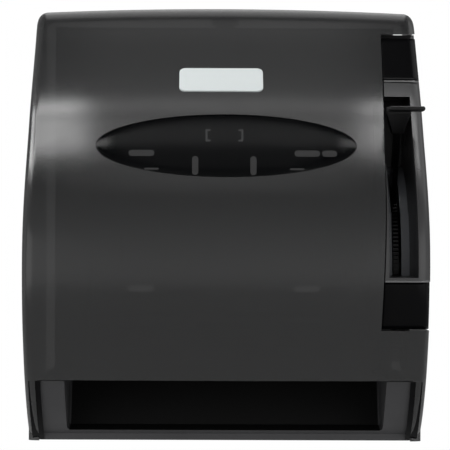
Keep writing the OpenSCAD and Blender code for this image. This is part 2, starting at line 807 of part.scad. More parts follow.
// One-way clutch on the shaft's end, inside the pinion
module clutch_hub() {
    color("silver") difference() {
        union() {
            bar_x(pinion_x - 0.6, pinion_x + pinion_w + 0.6, feed_d, feed_z, clutch_r);
            bar_x(pinion_x - 1.4, pinion_x - side_gap, feed_d, feed_z, clutch_r + 1.6);
        }
        bar_x(0, 200, feed_d, feed_z, shaft_dia / 2 + 0.02);
    }
}

core_r = feed_dia / 2 - 5;
roller_half = towel_w / 2;

module feed_shaft() {
    color([0.4, 0.4, 0.42]) union() {
        bar_x(-frame_x - 4, web_x + web_t + 0.6, feed_d, feed_z, shaft_dia / 2);
        bar_x(-roller_half, roller_half, feed_d, feed_z, core_r);
    }
}

module feed_sleeves() {
    sleeve_l = 46;
    color([0.12, 0.12, 0.12]) for (x = [-68, 0, 68]) difference() {
        union() {
            bar_x(x - sleeve_l / 2, x + sleeve_l / 2, feed_d, feed_z, feed_dia / 2 - 0.8);
            for (k = [0:5]) bar_x(x - sleeve_l / 2 + 1 + 7.9 * k, x - sleeve_l / 2 + 5.5 + 7.9 * k,
                feed_d, feed_z, feed_dia / 2);
        }
        bar_x(-200, 200, feed_d, feed_z, core_r + 0.02);
    }
}

module pressure_roller() {
    color([0.75, 0.75, 0.73]) union() {
        bar_x(-frame_x - 3, frame_x + 3, press_d, press_z, shaft_dia / 2);
        for (x = [-68, 0, 68]) bar_x(x - 26, x + 26, press_d, press_z, press_dia / 2);
        bar_x(-roller_half, roller_half, press_d, press_z, press_dia / 2 - 3);
    }
}

module roller_bushes() {
    module bush(x0, x1, d, z) {
        difference() {
            bar_x(x0, x1, d, z, bush_dia / 2 - 0.02);
            bar_x(x0 - 1, x1 + 1, d, z, shaft_dia / 2 + run_fit);
        }
    }
    color([0.85, 0.84, 0.8]) {
        for (s = [-1, 1], p = [[feed_d, feed_z], [press_d, press_z]])
            bush(s > 0 ? frame_x - frame_t - 1 : -frame_x - 2, s > 0 ? frame_x + 2 : -frame_x + frame_t + 1,
                p.x, p.y);
        bush(housing_x, housing_x + housing_wall, feed_d, feed_z);
        bush(web_x, web_x + web_t, feed_d, feed_z);
    }
}

// Bent strips that press on the ends of the pressure roller's bushes
module nip_springs() {
    r = bush_dia / 2 + seat_gap;
    color("silver") for (s = [-1, 1]) side_plate(s * (frame_x + 1.6) - 0.9, s * (frame_x + 1.6) + 0.9) union() {
        translate([press_d, press_z]) arc_strip(r, r + 0.9, -60, 40, 10);
        translate([press_d, press_z]) rotate(40) translate([r, 0]) square([0.9, 12]);
    }
}

// ---- Roll holders ----
module roll_arm(side) {
    mirror(side < 0 ? [1, 0, 0] : [0, 0, 0]) difference() {
        union() {
            hull() {
                bar_x(arm_x, arm_x + arm_t, arm_d, arm_z, 10);
                bar_x(arm_x, arm_x + arm_t, hub_d, hub_z, 9);
            }
            bar_x(arm_x - 1, arm_x + arm_t, hub_d, hub_z, 9);
            bar_x(hub_face_x - hub_len + 3, arm_x + eps, hub_d, hub_z, 4);
        }
        bar_x(0, 200, arm_d, arm_z, arm_pin_r + run_fit);
        side_plate(arm_x + 1.5, arm_x + 20) polygon([[50, 146], [100, 150], [100, 162], [50, 157]]);
    }
}

module left_roll_arm() { color([0.45, 0.45, 0.45]) roll_arm(-1); }

module right_roll_arm() { color([0.45, 0.45, 0.45]) roll_arm(1); }

module arm_pins() {
    color("silver") for (s = [-1, 1]) mirror(s < 0 ? [1, 0, 0] : [0, 0, 0]) union() {
        bar_x(arm_x - 1, frame_x + 3.4, arm_d, arm_z, arm_pin_r - 0.02);
        bar_x(arm_x - 2.5, arm_x - side_gap, arm_d, arm_z, arm_pin_r + 2);
    }
}

// Plug that carries one end of the roll's core, with a flange and four ribs
module core_hub(side) {
    mirror(side < 0 ? [1, 0, 0] : [0, 0, 0]) difference() {
        union() {
            bar_x(hub_face_x, hub_face_x + 3, hub_d, hub_z, hub_dia / 2 + 8);
            bar_x(hub_face_x - hub_len + 2, hub_face_x + eps, hub_d, hub_z, hub_dia / 2);
            translate([hub_face_x - hub_len, -hub_d, hub_z]) rotate([0, 90, 0])
                cylinder(r1 = hub_dia / 2 - 2, r2 = hub_dia / 2, h = 2);
        }
        bar_x(0, 200, hub_d, hub_z, 4 + run_fit);
        difference() {
            bar_x(hub_face_x - hub_len + 3, 200, hub_d, hub_z, hub_dia / 2 - 2.5);
            bar_x(0, 200, hub_d, hub_z, 7);
            for (a = [45, 135]) translate([90, -hub_d, hub_z]) rotate([a, 0, 0])
                cube([100, 60, 2.4], center = true);
        }
    }
}

module left_core_hub() { color([0.3, 0.3, 0.31]) core_hub(-1); }

module right_core_hub() { color([0.3, 0.3, 0.31]) core_hub(1); }

// Bracket on the panel's top that the cam's hook turns behind
module latch_keeper() {
    z = cover_h - 26;
    color("silver") union() {
        block(-9, 9, panel_t + seat_gap, 17, z, z + 2);
        block(-9, 9, 15, 17, z, z + 6.4);
        block(-9, 9, panel_t + seat_gap, panel_t + seat_gap + 2, z - 14, z + 1);
    }
}

front_cover();
window_lens();
badge_plate();
lock_barrel();
lock_cam();
back_panel();
left_side_frame();
right_side_frame();
lower_chute();
feed_guide();
lever_housing();
slot_guard();
latch_keeper();
tear_bar();
hinge_pins();
frame_screws();
roller_bushes();
nip_springs();
lever_pivot_pin();
return_spring();
arm_pins();
lever_arm();
lever_grip();
lever_bush();
drive_pinion();
clutch_hub();
feed_shaft();
feed_sleeves();
pressure_roller();
left_roll_arm();
right_roll_arm();
left_core_hub();
right_core_hub();
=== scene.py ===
"""Looks of a wall-mounted towel dispenser with a side lever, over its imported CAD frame."""

import json
import math

import bpy
import bmesh
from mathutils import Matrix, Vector


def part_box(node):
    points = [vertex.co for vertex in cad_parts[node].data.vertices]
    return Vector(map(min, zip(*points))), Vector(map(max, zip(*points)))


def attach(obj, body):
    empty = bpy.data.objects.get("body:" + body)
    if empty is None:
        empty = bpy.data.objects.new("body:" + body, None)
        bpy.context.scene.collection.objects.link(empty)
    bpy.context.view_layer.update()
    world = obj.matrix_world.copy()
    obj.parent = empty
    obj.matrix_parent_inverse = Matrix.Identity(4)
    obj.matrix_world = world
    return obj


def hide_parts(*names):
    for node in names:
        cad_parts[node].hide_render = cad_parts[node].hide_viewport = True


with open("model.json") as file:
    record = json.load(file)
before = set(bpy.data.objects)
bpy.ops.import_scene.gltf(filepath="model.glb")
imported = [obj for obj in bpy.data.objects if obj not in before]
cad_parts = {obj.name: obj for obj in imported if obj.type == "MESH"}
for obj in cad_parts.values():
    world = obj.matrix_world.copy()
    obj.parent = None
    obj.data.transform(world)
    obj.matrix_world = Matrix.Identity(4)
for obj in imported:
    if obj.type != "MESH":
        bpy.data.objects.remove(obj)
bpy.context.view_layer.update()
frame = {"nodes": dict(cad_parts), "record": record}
nodes = frame["nodes"]
MM = 0.001

# ---- Camera: the photograph's view, in metres ----
CAMERA_AT = (-0.0154, -2.0, 0.177)
CAMERA_LOOK = (-0.0008, -0.2, 0.177)
CAMERA_LENS = 179.2
CAMERA_SENSOR = 36.0
CAMERA_REACH = 50.0
CAMERA_ROLL = math.radians(0.22)

# ---- Sizes that the cover shares with the CAD source, in millimetres ----
COVER_LOW, COVER_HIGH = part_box("front_cover")
HALF_W = COVER_HIGH[0] / MM
COVER_H = COVER_HIGH[2] / MM
COVER_D = -COVER_LOW[1] / MM
WALL = 2.6
CROWN = 4.0
EDGE_R = 9.0
LIP_Z = 53.0
LEG_W = 9.0
WINDOW_A = 105.0
WINDOW_B = 26.0
WINDOW_Z = 241.0
BADGE_W = 69.0
BADGE_H = 28.0
BADGE_Z = 296.5
BADGE_X = -4.0
BADGE_CORNER = 5.0
BADGE_DEPTH = 0.8
FIT = 0.2
HINGE_D = 60.0
HINGE_Z = 15.0
HINGE_R = 4.3
BOSS_R = 9.0
BOSS_L = 4.0
NOTCH_TOP_X = HALF_W - 30.0
NOTCH_FOOT_X = NOTCH_TOP_X - 8.7
NOTCH_Z0 = 94.0
NOTCH_Z1 = 338.0
LOCK_D = 30.0
LOCK_R = 8.3
LOCK_BOSS_R = 12.0
LOCK_BOSS_L = 10.0

# The side profile's joints as (depth, height), from the top down
ROOF_END = (66.0, COVER_H)
SLOPE_TOP = (112.0, COVER_H - 27.0)
SLOPE_END = (180.0, 264.0)
BELLY = (COVER_D, 145.0)
CHIN = (219.0, LIP_Z)
FOOT = (166.0, 0.0)
# Each of its curves: start, the two points that pull it, end, number of steps
PROFILE = (
    (ROOF_END, (93.0, COVER_H), (98.0, COVER_H - 12.0), SLOPE_TOP, 16),
    (SLOPE_TOP, (SLOPE_TOP[0] + 34, SLOPE_TOP[1] - 35), (162.0, 288.0), SLOPE_END, 14),
    (SLOPE_END, (208.0, 229.0), (COVER_D, 195.0), BELLY, 26),
    (BELLY, (COVER_D, 105.0), (236.0, 82.0), CHIN, 20),
    (CHIN, (206.0, 34.0), (188.0, 14.0), FOOT, 12),
)

# ---- How the cover's solids are stepped, and how far its cuts reach ----
EDGE_STEPS = 10
WIDTH_STEPS = 26
SWEEP_STEPS = 240
HEEL_STEPS = 24
CORNER_STEPS = 8
FRONT_NEAR = 100.0
FRONT_FAR = 300.0
BEYOND = 10.0
PAST = 1.0
HEEL_BACK = -20.0
HEEL_LOW = -40.0
HEEL_GAP = 3.0
NOTCH_HEEL_GAP = 1.0
NOTCH_SWEEP_X = 100.0
LOCK_BORE_DOWN = 20.0
LOCK_BORE_UP = 5.0
BADGE_REACH = 6.0
BADGE_PROUD = 1.0
HAIR = 0.01
COVER_BEVEL = 0.45
BADGE_BEVEL = 0.35
BEVEL_FROM = 35.0
SHARP_FROM = 30.0
NODE_SHARP_FROM = 24.0

# ---- Lens: the CAD source's dome with finer steps and a rounded edge ----
LENS_GAP = 0.3
LENS_T = 3.2
LENS_RISE = 2.5
LENS_EDGE_DROP = 1.3
LENS_EDGE_POWER = 14
LENS_RINGS = 26
LENS_STEPS = 120
LENS_SHARP_FROM = 50.0

# ---- Housing's recesses and ribs ----
RECESS = 7.0
RAISED_Z0 = 133.0
RAISED_Z1 = 297.0
COVER_GAP = 1.0
FACE_LIFT = 0.25
FACE_T = 0.5
FACE_TUCK = 2.0
FACE_MARGIN = 0.3
FACE_COLUMNS = 16
FACE_ROWS = 14
# Name, lower and upper end of each polished face of painted shade
RECESS_FACES = (
    ("recess_face_low", NOTCH_Z0 + COVER_GAP + FACE_MARGIN, RAISED_Z0 - FACE_MARGIN),
    ("recess_face_high", RAISED_Z1 + FACE_MARGIN, NOTCH_Z1 - 2.5),
)
# Name, height of the middle, breadth, and how far each rib stands proud
HOUSING_LIPS = (
    ("housing_lip_low", RAISED_Z0 + 0.2, 1.6, 0.5),
    ("housing_lip_high", RAISED_Z1 - 0.6, 1.2, 0.3),
)
LIP_COLUMNS = 18
LIP_END = 1.5
LIP_ROOT = 0.8
LIP_FOOT = 0.4
LIP_BROW = 0.9

# ---- Dark strips of painted shade behind the gaps beside the mouth's posts ----
SHADE_STRIP_Z0 = 0.5
SHADE_STRIP_H = 51.5
SHADE_STRIP_STEPS = 12
SHADE_STRIP_FRONT = 6.0
SHADE_STRIP_BACK = 9.0
SHADE_STRIP_INWARD = 4.0
SHADE_STRIP_CLEAR = 0.9

# ---- Finishes ----
NOISE_MIDDLE = (0.3, 0.7)
CLOUD_SCALE = 9.0
GLOSS_SCALE = 55.0
GRAIN_STRENGTH = 0.35
STEEL_STRETCH = (4.0, 400.0, 400.0)
# Inner face of the mouth painted near-black, black plastic made darker as painted shade: colour,
# roughness, half width, bottom and top in metres
MOUTH_SHADE_ZONE = ((0.001, 0.001, 0.001), 0.6, 0.1275, 0.009, 0.0535)
PLASTICS = {
    "smoke_cover": {"color": (0.014, 0.0143, 0.0146), "rough": 0.22, "grain": 1400.0,
                    "grain_depth": 0.00002, "shade": 0.05, "alpha": 0.9, "rough_spread": 0.02},
    "smoke_lens": {"color": (0.001, 0.0012, 0.0015), "rough": 0.17, "grain": 200.0,
                   "grain_depth": 0.000002, "shade": 0.1, "alpha": 0.81, "rough_spread": 0.02,
                   "specular": 0.09},
    "badge": {"color": (0.60, 0.64, 0.64), "rough": 0.4, "grain": 300.0, "grain_depth": 0.00001,
              "shade": 0.01, "rough_spread": 0.01},
    "panel_grey": {"color": (0.012, 0.0125, 0.014), "rough": 0.55},
    "frame_grey": {"color": (0.06, 0.06, 0.057), "rough": 0.5},
    # The chute's mouth is painted near-black inside as shade
    "chute_grey": {"color": (0.045, 0.045, 0.047), "rough": 0.45, "grain": 1100.0,
                   "grain_depth": 0.00004, "specular": 0.2, "painted_shade_zone": MOUTH_SHADE_ZONE},
    "guide_cream": {"color": (0.30, 0.28, 0.23), "rough": 0.5},
    "housing_black": {"color": (0.02, 0.02, 0.021), "rough": 0.3, "grain": 1200.0,
                      "grain_depth": 0.00001, "rough_spread": 0.03},
    # Lighter grey than housing_black on the same moulding: painted highlight on the housing's ribs
    "lip_highlight_grey": {"color": (0.07, 0.07, 0.072), "rough": 0.22, "specular": 0.9},
    # Near-black with little specular: painted shade for the housing's recesses and the mouth's gaps
    "painted_shade_black": {"color": (0.0025, 0.0025, 0.0028), "rough": 0.16, "grain": 1200.0,
                     "grain_depth": 0.00001, "rough_spread": 0.03, "specular": 0.06},
    "guard_grey": {"color": (0.23, 0.24, 0.26), "rough": 0.4},
    "lever_black": {"color": (0.002, 0.002, 0.0022), "rough": 0.25, "specular": 0.25},
    "bush_natural": {"color": (0.66, 0.64, 0.58), "rough": 0.45},
    "rubber": {"color": (0.02, 0.02, 0.02), "rough": 0.75, "grain": 700.0, "grain_depth": 0.00008,
               "specular": 0.3},
    "roller_grey": {"color": (0.45, 0.45, 0.43), "rough": 0.45},
    "arm_grey": {"color": (0.08, 0.08, 0.08), "rough": 0.5},
    "hub_dark": {"color": (0.02, 0.02, 0.021), "rough": 0.5},
}

# ---- Stage, in metres and watts ----
FLOOR_SIZE = 6.0
FLOOR_Z = -0.45
# The studio's brightness from the horizon and below (0) to straight above (1)
SKY_STOPS = ((0.0, 0.9), (0.3, 0.75), (0.6, 0.6), (0.86, 0.4), (0.93, 0.1), (0.985, 0.1))
# It fades over these directions towards the back, from the first level to the second
SKY_BACK = (0.0, 0.6)
SKY_BACK_LEVELS = (1.0, 0.3)
STRIP_Y = -0.204
STRIP_Z = 0.51
FRONT_LOOK = (0.0, 0.0, 0.15)
FRONT_SIZE = (2.4, 2.4)
# Name, place, point it faces (None: straight down), size, power, turn about Z in degrees
LAMPS = (
    ("high", (0.0, -0.4, 1.5), None, (0.5, 0.8), 0.75, 0.0),
    ("high_back", (0.0, 0.75, 1.25), (0.0, -0.1, 0.36), (0.8, 1.2), 2.6, 0.0),
    ("strip_left", (-0.26, STRIP_Y, STRIP_Z), None, (0.24, 0.05), 0.36, 0.0),
    ("strip_bend", (-0.46, -0.08, STRIP_Z), None, (0.28, 0.07), 0.62, -43.0),
    ("strip_middle", (0.0, STRIP_Y, STRIP_Z), None, (0.28, 0.05), 0.055, 0.0),
    ("strip_right", (0.23, STRIP_Y, STRIP_Z), None, (0.24, 0.05), 0.28, 0.0),
    ("side_right", (1.0, 0.2, 1.0), (0.15, -0.15, 0.25), (0.8, 0.8), 1.2, 0.0),
    ("front_left", (-1.7, -2.0, 0.3), FRONT_LOOK, FRONT_SIZE, 17.0, 0.0),
    ("front_right", (1.7, -2.0, 0.3), FRONT_LOOK, FRONT_SIZE, 15.0, 0.0),
)


def add_camera():
    data = bpy.data.cameras.new("camera")
    data.lens = CAMERA_LENS
    data.sensor_width = CAMERA_SENSOR
    data.clip_end = CAMERA_REACH
    camera = bpy.data.objects.new("camera", data)
    bpy.context.scene.collection.objects.link(camera)
    camera.location = CAMERA_AT
    aim = (Vector(CAMERA_LOOK) - Vector(CAMERA_AT)).to_track_quat("-Z", "Y").to_euler()
    camera.rotation_euler = aim
    camera.rotation_euler.rotate_axis("Z", CAMERA_ROLL)
    bpy.context.scene.camera = camera


# ---- Shader pieces ----
def new_material(name):
    material = bpy.data.materials.new(name)
    material.use_nodes = True
    tree = material.node_tree
    shader = tree.nodes["Principled BSDF"]
    return material, tree, shader


def noise(tree, scale, detail):
    texture = tree.nodes.new("ShaderNodeTexNoise")
    texture.inputs["Scale"].default_value = scale
    texture.inputs["Detail"].default_value = detail
    where = tree.nodes.new("ShaderNodeTexCoord")
    tree.links.new(where.outputs["Object"], texture.inputs["Vector"])
    return texture.outputs["Fac"]


def map_range(tree, value, source, target):
    """Maps a value from one range onto another, each given as (low, high)."""
    node = tree.nodes.new("ShaderNodeMapRange")
    for name, number in zip(("From Min", "From Max", "To Min", "To Max"), (*source, *target)):
        node.inputs[name].default_value = number
    tree.links.new(value, node.inputs["Value"])
    return node.outputs["Result"]


def spread(tree, value, low, high):
    """Maps the middle of a noise onto a range."""
    return map_range(tree, value, NOISE_MIDDLE, (low, high))


def mix_colors(tree, factor, one, two):
    """Blends two colours, each given as numbers or as another node's output."""
    node = tree.nodes.new("ShaderNodeMix")
    node.data_type = "RGBA"
    for name, color in (("A", one), ("B", two)):
        if isinstance(color, tuple):
            node.inputs[name].default_value = (*color, 1.0)
        else:
            tree.links.new(color, node.inputs[name])
    tree.links.new(factor, node.inputs["Factor"])
    return node.outputs["Result"]


def mix_values(tree, factor, one, two):
    """Blends another node's output with a number."""
    node = tree.nodes.new("ShaderNodeMix")
    node.data_type = "FLOAT"
    tree.links.new(factor, node.inputs["Factor"])
    tree.links.new(one, node.inputs["A"])
    node.inputs["B"].default_value = two
    return node.outputs["Result"]


def add_bump(tree, shader, height, strength, distance):
    bump = tree.nodes.new("ShaderNodeBump")
    bump.inputs["Strength"].default_value = strength
    bump.inputs["Distance"].default_value = distance
    tree.links.new(height, bump.inputs["Height"])
    tree.links.new(bump.outputs["Normal"], shader.inputs["Normal"])


def box_mask(tree, half_width, low, high):
    """1 within a distance of the middle and between two heights, 0 elsewhere, in metres."""
    where = tree.nodes.new("ShaderNodeTexCoord")
    axes = tree.nodes.new("ShaderNodeSeparateXYZ")
    tree.links.new(where.outputs["Object"], axes.inputs["Vector"])
    away = tree.nodes.new("ShaderNodeMath")
    away.operation = "ABSOLUTE"
    tree.links.new(axes.outputs["X"], away.inputs[0])
    tests = ((away.outputs["Value"], "LESS_THAN", half_width),
             (axes.outputs["Z"], "GREATER_THAN", low),
             (axes.outputs["Z"], "LESS_THAN", high))
    product = None
    for value, operation, limit in tests:
        test = tree.nodes.new("ShaderNodeMath")
        test.operation = operation
        test.inputs[1].default_value = limit
        tree.links.new(value, test.inputs[0])
        if product is None:
            product = test.outputs["Value"]
            continue
        both = tree.nodes.new("ShaderNodeMath")
        both.operation = "MULTIPLY"
        tree.links.new(product, both.inputs[0])
        tree.links.new(test.outputs["Value"], both.inputs[1])
        product = both.outputs["Value"]
    return product


# ---- Materials ----
def plastic(name, color, rough, grain=900.0, grain_depth=0.00003, shade=0.12, alpha=1.0,
            rough_spread=0.05, specular=0.5, painted_shade_zone=None):
    """Moulded plastic: slight colour drift, uneven gloss and a fine moulded grain.

    painted_shade_zone is (colour, roughness, half width, bottom, top) of a part of the piece painted
    darker as shade, with its own roughness.
    """
    material, tree, shader = new_material(name)
    cloud = noise(tree, CLOUD_SCALE, 4.0)
    darker = tuple(c * (1.0 - shade) for c in color)
    lighter = tuple(min(1.0, c * (1.0 + shade)) for c in color)
    base = mix_colors(tree, spread(tree, cloud, 0.0, 1.0), darker, lighter)
    gloss = spread(tree, noise(tree, GLOSS_SCALE, 5.0), rough - rough_spread, rough + rough_spread)
    # Painted shade: a box of darker colour and its own roughness over part of the piece
    if painted_shade_zone:
        in_mouth_shade = box_mask(tree, *painted_shade_zone[2:])
        base = mix_colors(tree, in_mouth_shade, base, painted_shade_zone[0])
        gloss = mix_values(tree, in_mouth_shade, gloss, painted_shade_zone[1])
    tree.links.new(base, shader.inputs["Base Color"])
    tree.links.new(gloss, shader.inputs["Roughness"])
    add_bump(tree, shader, noise(tree, grain, 2.0), GRAIN_STRENGTH, grain_depth)
    shader.inputs["Specular IOR Level"].default_value = specular
    shader.inputs["Alpha"].default_value = alpha
    return material


def steel(name, color, rough):
    """Plated or drawn steel with fine marks along X."""
    material, tree, shader = new_material(name)
    where = tree.nodes.new("ShaderNodeTexCoord")
    scale = tree.nodes.new("ShaderNodeMapping")
    scale.inputs["Scale"].default_value = STEEL_STRETCH
    marks = tree.nodes.new("ShaderNodeTexNoise")
    marks.inputs["Scale"].default_value = 6.0
    marks.inputs["Detail"].default_value = 4.0
    tree.links.new(where.outputs["Object"], scale.inputs["Vector"])
    tree.links.new(scale.outputs["Vector"], marks.inputs["Vector"])
    darker = tuple(c * 0.8 for c in color)
    tree.links.new(mix_colors(tree, marks.outputs["Fac"], darker, color), shader.inputs["Base Color"])
    gloss = spread(tree, marks.outputs["Fac"], rough - 0.07, rough + 0.1)
    tree.links.new(gloss, shader.inputs["Roughness"])
    add_bump(tree, shader, marks.outputs["Fac"], 0.2, 0.00002)
    shader.inputs["Metallic"].default_value = 1.0
    return material


def make_materials():
    made = {name: plastic(name, **look) for name, look in PLASTICS.items()}
    made["steel"] = steel("steel", (0.60, 0.61, 0.63), 0.32)
    return made


# ---- CAD nodes ----
def smooth_group(limit):
    """Geometry nodes that shade smoothly, apart from edges sharper than a limit in degrees."""
    group = bpy.data.node_groups.new("smooth_by_angle", "GeometryNodeTree")
    group.interface.new_socket("Geometry", in_out="INPUT", socket_type="NodeSocketGeometry")
    group.interface.new_socket("Geometry", in_out="OUTPUT", socket_type="NodeSocketGeometry")
    start = group.nodes.new("NodeGroupInput")
    end = group.nodes.new("NodeGroupOutput")
    faces = group.nodes.new("GeometryNodeSetShadeSmooth")
    faces.domain = "FACE"
    edges = group.nodes.new("GeometryNodeSetShadeSmooth")
    edges.domain = "EDGE"
    angle = group.nodes.new("GeometryNodeInputMeshEdgeAngle")
    test = group.nodes.new("FunctionNodeCompare")
    test.operation = "LESS_THAN"
    test.inputs["B"].default_value = math.radians(limit)
    group.links.new(angle.outputs["Unsigned Angle"], test.inputs["A"])
    group.links.new(test.outputs["Result"], edges.inputs["Shade Smooth"])
    group.links.new(start.outputs["Geometry"], faces.inputs["Geometry"])
    group.links.new(faces.outputs["Geometry"], edges.inputs["Geometry"])
    group.links.new(edges.outputs["Geometry"], end.inputs["Geometry"])
    return group


def dress_nodes(materials):
    """Gives each CAD node the material of its slot in the record, and shades its facets smoothly."""
    group = smooth_group(NODE_SHARP_FROM)
    for part in frame["record"]["subparts"]:
        piece = nodes[part["node"]]
        piece.data.materials.clear()
        piece.data.materials.append(materials[part["material_slot"]])
        weld = piece.modifiers.new("weld", "WELD")
        weld.merge_threshold = 0.00001
        smooth = piece.modifiers.new("smooth", "NODES")
        smooth.node_group = group


# ---- Making, cutting and finishing solids ----
def new_piece(name, mesh):
    piece = bpy.data.objects.new(name, mesh)
    bpy.context.scene.collection.objects.link(piece)
    return piece


def mesh_of(name, points, faces):
    """A mesh in metres from points in millimetres, with faces turned outwards."""
    mesh = bpy.data.meshes.new(name)
    mesh.from_pydata([Vector(p) * MM for p in points], [], faces)
    work = bmesh.new()
    work.from_mesh(mesh)
    bmesh.ops.recalc_face_normals(work, faces=work.faces)
    work.to_mesh(mesh)
    work.free()
    return mesh


def drum_faces(n):
    """Both ends and the sides of a solid between two outlines of n points."""
    ends = [tuple(range(n)), tuple(range(n, 2 * n))]
    return ends + [(k, (k + 1) % n, n + (k + 1) % n, n + k) for k in range(n)]


def ring_faces(start, bands, n):
    """Faces between rings of n points that follow each other from a first point on."""
    faces = []
    for i in range(bands):
        for k in range(n):
            p, q = start + i * n + k, start + i * n + (k + 1) % n
            faces.append((p, q, q + n, p + n))
    return faces


def prism(name, outline, axis, low, high):
    """Outline drawn out along X (outline is depth and height), Y (x and height) or Z (x and depth)."""
    place = {"X": lambda p, t: (t, -p[0], p[1]), "Y": lambda p, t: (p[0], -t, p[1]),
             "Z": lambda p, t: (p[0], -p[1], t)}[axis]
    points = [place(p, low) for p in outline] + [place(p, high) for p in outline]
    return new_piece(name, mesh_of(name, points, drum_faces(len(outline))))


def ellipse(x, z, a, b, n=96):
    turns = [2 * math.pi * k / n for k in range(n)]
    return [(x + a * math.cos(t), z + b * math.sin(t)) for t in turns]


def circle(x, z, r, n=48):
    return ellipse(x, z, r, r, n)


def carve(piece, other, operation="DIFFERENCE"):
    """Cuts one solid with another, joins them or keeps what they share, and takes the second away."""
    modifier = piece.modifiers.new("carve", "BOOLEAN")
    modifier.object = other
    modifier.operation = operation
    modifier.solver = "EXACT"
    depsgraph = bpy.context.evaluated_depsgraph_get()
    mesh = bpy.data.meshes.new_from_object(piece.evaluated_get(depsgraph))
    piece.modifiers.clear()
    piece.data = mesh
    bpy.data.objects.remove(other)


def finish_edges(piece, width):
    """Rounds the cut edges and shades the rest smoothly."""
    work = bmesh.new()
    work.from_mesh(piece.data)
    bmesh.ops.remove_doubles(work, verts=work.verts, dist=0.0001)
    work.to_mesh(piece.data)
    work.free()
    piece.data.shade_smooth()
    piece.data.set_sharp_from_angle(angle=math.radians(SHARP_FROM))
    bevel = piece.modifiers.new("edges", "BEVEL")
    bevel.width = width * MM
    bevel.segments = 2
    bevel.limit_method = "ANGLE"
    bevel.angle_limit = math.radians(BEVEL_FROM)
    bevel.harden_normals = True


def ride_as(piece, body, slot_name, material, *replaced):
    piece.data.materials.clear()
    piece.data.materials.append(material)
    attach(piece, body)
    if replaced:
        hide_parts(*replaced)


# ---- The cover, lofted as in the CAD source but with finer steps ----
def cubic(a, b, c, d, n):
    """Points of a cubic curve from a to d, without its last point."""
    points = []
    for i in range(n):
        t = i / n
        u = 1 - t
        points.append(Vector(a) * u ** 3 + 3 * Vector(b) * u ** 2 * t
                      + 3 * Vector(c) * u * t ** 2 + Vector(d) * t ** 3)
    return points


# The cover's side profile as points (depth, height), from the top down
LINE = [point for curve in PROFILE for point in cubic(*curve)] + [Vector(FOOT)]


def front_depth(z):
    """Depth of the profile at a height."""
    for high, low in zip(LINE, LINE[1:]):
        if low.y <= z <= high.y:
            t = (z - low.y) / (high.y - low.y)
            return low.x + (high.x - low.x) * t
    return LINE[-1].x


def crown_at(x):
    """How far the crowned front falls back from its middle."""
    return CROWN * (x / HALF_W) ** 2


def surface_at(x, z):
    """Depth of the cover's surface at a place seen from the front."""
    flat = HALF_W - EDGE_R
    depth = front_depth(z)
    if abs(x) <= flat:
        return depth - crown_at(x)
    over = min(abs(x) - flat, EDGE_R)
    return depth - crown_at(flat) - (EDGE_R - math.sqrt(EDGE_R ** 2 - over ** 2))


def side_outline(by, back, bottom):
    """Closed side outline, with the profile moved inwards by a distance, square to itself."""
    moved = []
    for i, point in enumerate(LINE):
        before = LINE[i - 1] if i else Vector((0, COVER_H))
        after = LINE[min(i + 1, len(LINE) - 1)]
        run = (after - before).normalized()
        moved.append(point + by * Vector((run.y, -run.x)))
    return ([Vector((back, bottom)), Vector((back, COVER_H - by))] + moved
            + [Vector((moved[-1].x, bottom))])


def stations(by):
    """Stations across the width, as (x, inset), with rounded side edges."""
    r = max(EDGE_R - by, 1.0)
    flat = HALF_W - by - r
    inset = by + crown_at(flat)
    turns = [math.pi / 2 * (1 - k / EDGE_STEPS) for k in range(EDGE_STEPS)]
    left = [(-flat - r * math.sin(a), inset + r * (1 - math.cos(a))) for a in turns]
    across = [flat * (2 * k / WIDTH_STEPS - 1) for k in range(WIDTH_STEPS + 1)]
    middle = [(x, by + crown_at(x)) for x in across]
    right = [(-x, inward) for x, inward in reversed(left)]
    return left + middle + right


def cover_form(name, by, back=0.0, bottom=0.0):
    """Solid bounded by the cover's surface moved inwards by a distance."""
    rows = stations(by)
    rings = [side_outline(inset, back, bottom) for _, inset in rows]
    m, n = len(rings[0]), len(rows)
    points = [(row[0], -p.x, p.y) for row, ring in zip(rows, rings) for p in ring]
    faces = [tuple(range(m)), tuple(range((n - 1) * m, n * m))]
    for k in range(n - 1):
        for j in range(m):
            a, b = k * m + j, k * m + (j + 1) % m
            faces.append((a, a + m, b + m, b))
    return new_piece(name, mesh_of(name, points, faces))


def hinge_corner(name, radius, z0, z1, x0, x1):
    """What lies outside a circle about the hinge, behind it and between two heights."""
    if z1 > HINGE_Z:
        first = 90
        outline = [(HINGE_D, z1), (HEEL_BACK, z1), (HEEL_BACK, HINGE_Z)]
    else:
        first = 180
        outline = [(HEEL_BACK, HINGE_Z), (HEEL_BACK, z0), (HINGE_D, z0)]
    angles = [math.radians(first + 90 * k / HEEL_STEPS) for k in range(HEEL_STEPS + 1)]
    arc = [(HINGE_D + radius * math.cos(a), HINGE_Z + radius * math.sin(a)) for a in reversed(angles)]
    return prism(name, outline + arc, "X", x0, x1)


def notch_cutter():
    """Solid of the notch for the lever's housing, with its top edge on an arc about the hinge."""
    right = HALF_W + BEYOND
    outline = [(NOTCH_FOOT_X, NOTCH_Z0), (right, NOTCH_Z0), (right, COVER_H), (NOTCH_TOP_X, COVER_H),
               (NOTCH_TOP_X, NOTCH_Z1)]
    notch = prism("notch", outline, "Y", -BEYOND, FRONT_FAR)
    top_r = math.hypot(front_depth(NOTCH_Z1) - HINGE_D, NOTCH_Z1 - HINGE_Z)
    sweep = prism("sweep", circle(HINGE_D, HINGE_Z, top_r, SWEEP_STEPS), "X", NOTCH_SWEEP_X,
                  HALF_W + 2 * BEYOND)
    carve(notch, sweep, "INTERSECT")
    return notch


